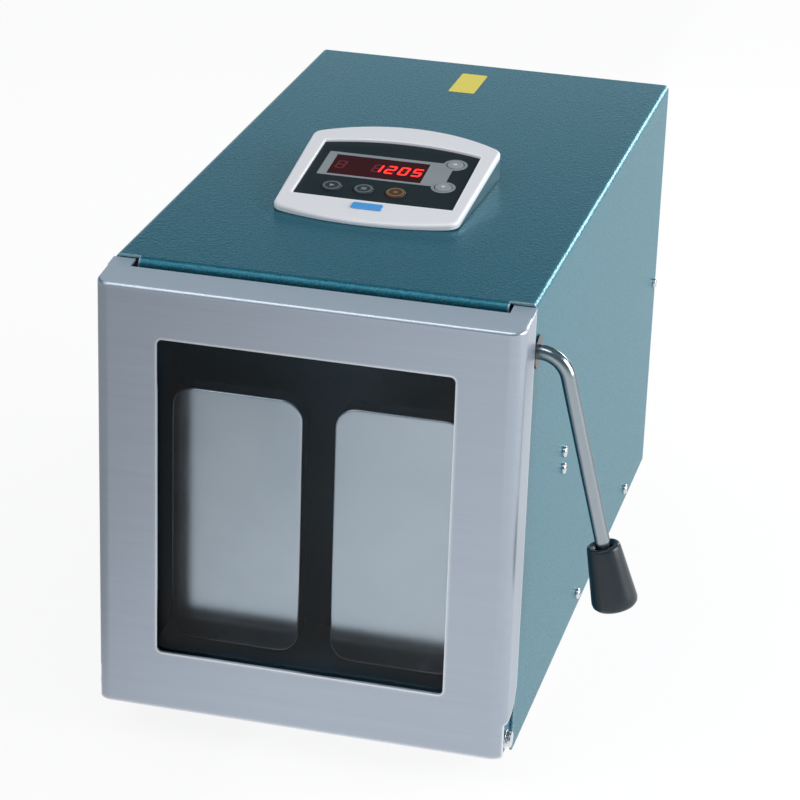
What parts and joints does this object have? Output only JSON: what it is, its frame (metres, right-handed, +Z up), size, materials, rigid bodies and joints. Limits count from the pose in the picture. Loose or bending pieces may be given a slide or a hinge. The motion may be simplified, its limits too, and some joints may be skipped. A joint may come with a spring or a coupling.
{
  "type": "laboratory bag mixer",
  "caption": "Bench bag mixer with twin reciprocating paddles behind a drop-down windowed door, side latch lever and keypad console.",
  "frame": {"origin": "on the bench under the middle of the machine's bounding box, lever included", "axes": "+X to the lever side, +Y from the door to the back, +Z up"},
  "size_m": [0.2851, 0.4294, 0.2843],
  "materials": {
    "case_paint": "satin",
    "door_steel": "brushed",
    "inner_steel": "satin",
    "paddle_steel": "brushed",
    "window_glass": "clear",
    "seal_rubber": "matte",
    "screw_steel": "polished",
    "brass": "satin",
    "lever_chrome": "polished",
    "knob_plastic": "gloss",
    "rod_steel": "ground",
    "cast_alloy": "machined",
    "motor_black": "painted",
    "board_green": "satin",
    "component_dark": "satin",
    "console_white": "gloss",
    "panel_dark": "satin",
    "display_red": "gloss",
    "key_dark": "satin",
    "key_red": "satin",
    "supply_black": "satin"
  },
  "bodies": {
    "case": {"housing_cover": "case_paint", "hinge_ears": "case_paint", "front_frame": "inner_steel", "chamber_liner": "inner_steel", "shaft_brackets": "inner_steel", "base_tray": "inner_steel", "rear_panel": "inner_steel", "rod_seals": "seal_rubber", "rubber_feet": "seal_rubber", "drive_belt": "seal_rubber", "case_screws": "screw_steel", "hinge_screws": "screw_steel", "lever_bush": "brass", "crank_bearings": "rod_steel", "linear_bushings": "rod_steel", "front_guide_plate": "cast_alloy", "rear_guide_plate": "cast_alloy", "drive_side_plates": "cast_alloy", "motor_body": "motor_black", "motor_bracket": "motor_black", "drive_board": "board_green", "control_board": "board_green", "board_components": "component_dark", "display_module": "component_dark", "console_bezel": "console_white", "console_panel": "panel_dark", "display_window": "display_red", "power_inlet": "supply_black", "fuse_holder": "supply_black", "switch_frame": "supply_black"},
    "door": {"door_frame": "door_steel", "window_gasket": "seal_rubber", "door_window": "window_glass", "window_retainer": "inner_steel", "retainer_nuts": "screw_steel", "door_seal": "seal_rubber", "door_hinge_lugs": "inner_steel", "hinge_bushes": "brass", "latch_strikers": "inner_steel"},
    "lever": {"lever_rod": "lever_chrome", "lever_knob": "knob_plastic", "latch_hooks": "inner_steel"},
    "left_slider": {"left_paddle": "paddle_steel", "left_guide_rods": "rod_steel", "left_yoke": "cast_alloy"},
    "right_slider": {"right_paddle": "paddle_steel", "right_guide_rods": "rod_steel", "right_yoke": "cast_alloy"},
    "crank": {"crankshaft": "rod_steel", "eccentric_bearings": "rod_steel", "crank_pulley": "cast_alloy"},
    "rotor": {"motor_rotor": "rod_steel", "motor_pulley": "cast_alloy"},
    "rocker": {"rocker_switch": "supply_black"},
    "start_key_cap": {"start_key": "key_dark"},
    "program_key_cap": {"program_key": "key_dark"},
    "stop_key_cap": {"stop_key": "key_red"},
    "up_key_cap": {"up_key": "key_dark"},
    "down_key_cap": {"down_key": "key_dark"}
  },
  "joints": [
    {"name": "door_hinge", "type": "hinge", "parent": "case", "child": "door", "pos_m": [-0.02969, -0.2007, 0.0263], "axis": [1, 0, 0], "range_deg": [0, 90]},
    {"name": "latch_lever", "type": "hinge", "parent": "case", "child": "lever", "pos_m": [-0.02969, -0.1762, 0.2379], "axis": [-1, 0, 0], "range_deg": [0, 90]},
    {"name": "crank_turn", "type": "hinge", "parent": "case", "child": "crank", "pos_m": [-0.02969, -0.0447, 0.1228], "axis": [1, 0, 0], "range_deg": [-90, 90]},
    {"name": "left_paddle_slide", "type": "slide", "parent": "case", "child": "left_slider", "axis": [0, 1, 0], "range_m": [-0.008, 0.008]},
    {"name": "right_paddle_slide", "type": "slide", "parent": "case", "child": "right_slider", "axis": [0, 1, 0], "range_m": [-0.008, 0.008]},
    {"name": "rotor_turn", "type": "hinge", "parent": "case", "child": "rotor", "pos_m": [-0.02969, 0.1053, 0.062], "axis": [1, 0, 0], "range_deg": [-210.5, 210.5]},
    {"name": "supply_switch", "type": "hinge", "parent": "case", "child": "rocker", "pos_m": [-0.00569, 0.2057, 0.048], "axis": [1, 0, 0], "range_deg": [0, 14]},
    {"name": "start_key_press", "type": "slide", "parent": "case", "child": "start_key_cap", "axis": [0, 0.1305, -0.9914], "range_m": [0, 0.0006], "stiffness_N_per_m": 500, "springref_m": -0.0004},
    {"name": "program_key_press", "type": "slide", "parent": "case", "child": "program_key_cap", "axis": [0, 0.1305, -0.9914], "range_m": [0, 0.0006], "stiffness_N_per_m": 500, "springref_m": -0.0004},
    {"name": "stop_key_press", "type": "slide", "parent": "case", "child": "stop_key_cap", "axis": [0, 0.1305, -0.9914], "range_m": [0, 0.0006], "stiffness_N_per_m": 500, "springref_m": -0.0004},
    {"name": "up_key_press", "type": "slide", "parent": "case", "child": "up_key_cap", "axis": [0, 0.1305, -0.9914], "range_m": [0, 0.0006], "stiffness_N_per_m": 500, "springref_m": -0.0004},
    {"name": "down_key_press", "type": "slide", "parent": "case", "child": "down_key_cap", "axis": [0, 0.1305, -0.9914], "range_m": [0, 0.0006], "stiffness_N_per_m": 500, "springref_m": -0.0004}
  ],
  "couplings": [
    {"joint": "left_paddle_slide", "follows": "crank_turn", "m_per_rad": -0.005093},
    {"joint": "right_paddle_slide", "follows": "crank_turn", "m_per_rad": 0.005093},
    {"joint": "rotor_turn", "follows": "crank_turn", "ratio": 2.3333}
  ]
}
